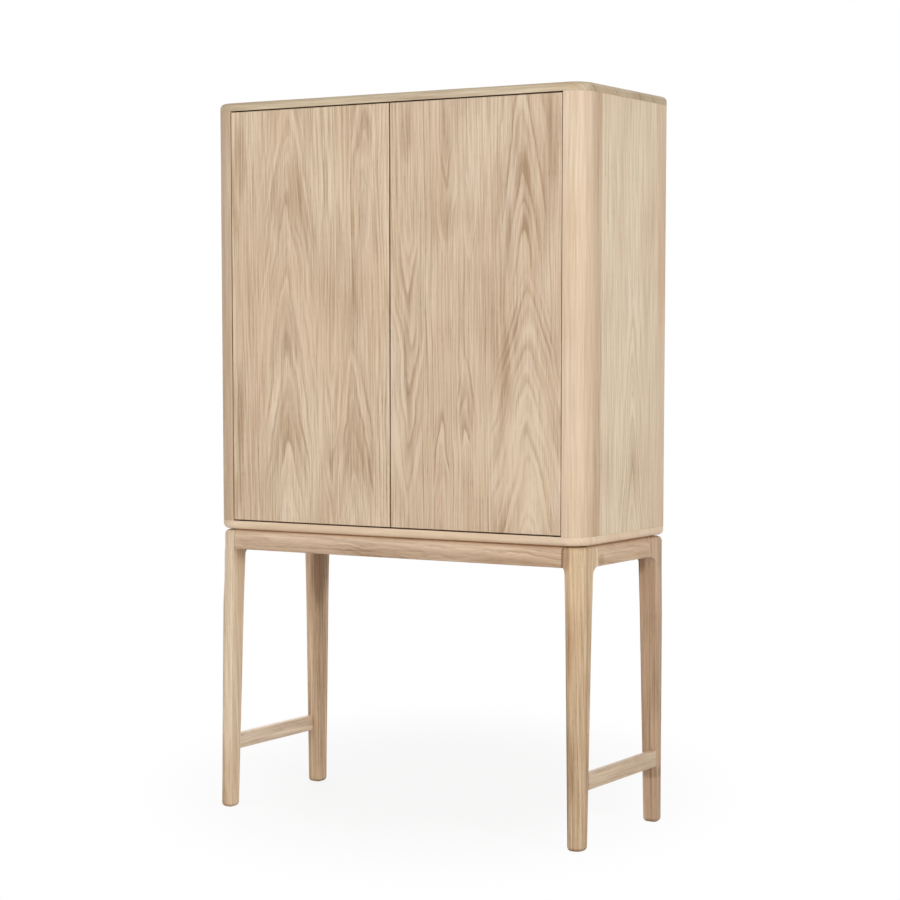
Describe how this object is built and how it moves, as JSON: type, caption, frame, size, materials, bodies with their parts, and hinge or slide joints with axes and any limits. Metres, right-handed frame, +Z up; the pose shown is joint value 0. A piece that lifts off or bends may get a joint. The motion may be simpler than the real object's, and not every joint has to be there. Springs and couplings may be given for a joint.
{
  "type": "bar cabinet",
  "caption": "Tall oak bar cabinet on a slim leg frame, with two flush doors, a bottle rack, glass rails and a shelf that folds out from the left door.",
  "frame": {"origin": "centre of the footprint, on the floor", "axes": "+Z up, +X to the right seen from the front, the doors face -Y"},
  "size_m": [1, 0.414, 1.685],
  "materials": {
    "leg_oak": "oiled oak, satin",
    "rail_oak": "oiled oak, satin",
    "post_oak": "oiled oak, satin",
    "board_oak": "oiled oak, satin",
    "side_oak": "oak veneer, straight grain, satin",
    "door_oak": "oak veneer, crown-cut grain, satin",
    "inner_oak": "oak veneer, satin",
    "dark_strip": "dark stained, matte",
    "steel": "satin",
    "brass": "satin",
    "polymer": "matte"
  },
  "bodies": {
    "cabinet": {"leg_front_left": "leg_oak", "leg_front_right": "leg_oak", "leg_back_left": "leg_oak", "leg_back_right": "leg_oak", "rail_front": "rail_oak", "rail_back": "rail_oak", "rail_left": "rail_oak", "rail_right": "rail_oak", "stretcher_left": "rail_oak", "stretcher_right": "rail_oak", "shadow_strip_front": "dark_strip", "shadow_strip_back": "dark_strip", "shadow_strip_left": "dark_strip", "shadow_strip_right": "dark_strip", "carcass_bolt_front_left": "steel", "carcass_bolt_front_right": "steel", "carcass_bolt_back_left": "steel", "carcass_bolt_back_right": "steel", "bottom_board": "board_oak", "top_board": "board_oak", "side_panel_left": "side_oak", "front_post_left": "post_oak", "back_post_left": "post_oak", "side_panel_right": "side_oak", "front_post_right": "post_oak", "back_post_right": "post_oak", "back_panel": "inner_oak", "worktop_shelf": "inner_oak", "upper_shelf": "inner_oak", "lower_partition": "inner_oak", "rack_upright_1": "inner_oak", "rack_upright_2": "inner_oak", "rack_level": "inner_oak", "stem_rail_1": "inner_oak", "stem_rail_2": "inner_oak", "stem_rail_3": "inner_oak", "pivot_bush_left_top": "brass", "pivot_bush_left_bottom": "brass", "pivot_bush_right_top": "brass", "pivot_bush_right_bottom": "brass", "latch_housing_left": "polymer", "latch_housing_right": "polymer"},
    "door_left": {"door_panel_left": "door_oak", "door_pivot_left_top": "steel", "door_pivot_left_bottom": "steel", "strike_plate_left": "steel", "fold_shelf_bracket_left": "inner_oak", "fold_shelf_bracket_right": "inner_oak", "fold_shelf_rest_bar": "steel", "fold_shelf_magnet": "steel"},
    "door_right": {"door_panel_right": "door_oak", "door_pivot_right_top": "steel", "door_pivot_right_bottom": "steel", "strike_plate_right": "steel"},
    "fold_out_shelf": {"fold_shelf_board": "door_oak", "fold_shelf_pin_left": "steel", "fold_shelf_pin_right": "steel"},
    "plunger_left": {"latch_plunger_left": "polymer"},
    "plunger_right": {"latch_plunger_right": "polymer"}
  },
  "joints": [
    {"name": "door_left_hinge", "type": "hinge", "parent": "cabinet", "child": "door_left", "pos_m": [-0.4285, -0.198, 1.1815], "axis": [0, 0, -1], "range_deg": [0, 110]},
    {"name": "door_right_hinge", "type": "hinge", "parent": "cabinet", "child": "door_right", "pos_m": [0.4285, -0.198, 1.1815], "axis": [0, 0, 1], "range_deg": [0, 110]},
    {"name": "fold_out_shelf_hinge", "type": "hinge", "parent": "door_left", "child": "fold_out_shelf", "pos_m": [-0.223, -0.175, 1.077], "axis": [-1, 0, 0], "range_deg": [0, 90]},
    {"name": "plunger_left_slide", "type": "slide", "parent": "cabinet", "child": "plunger_left", "axis": [0, 1, 0], "range_m": [0, 0.003], "stiffness_N_per_m": 300, "springref_m": -0.002},
    {"name": "plunger_right_slide", "type": "slide", "parent": "cabinet", "child": "plunger_right", "axis": [0, 1, 0], "range_m": [0, 0.003], "stiffness_N_per_m": 300, "springref_m": -0.002}
  ]
}
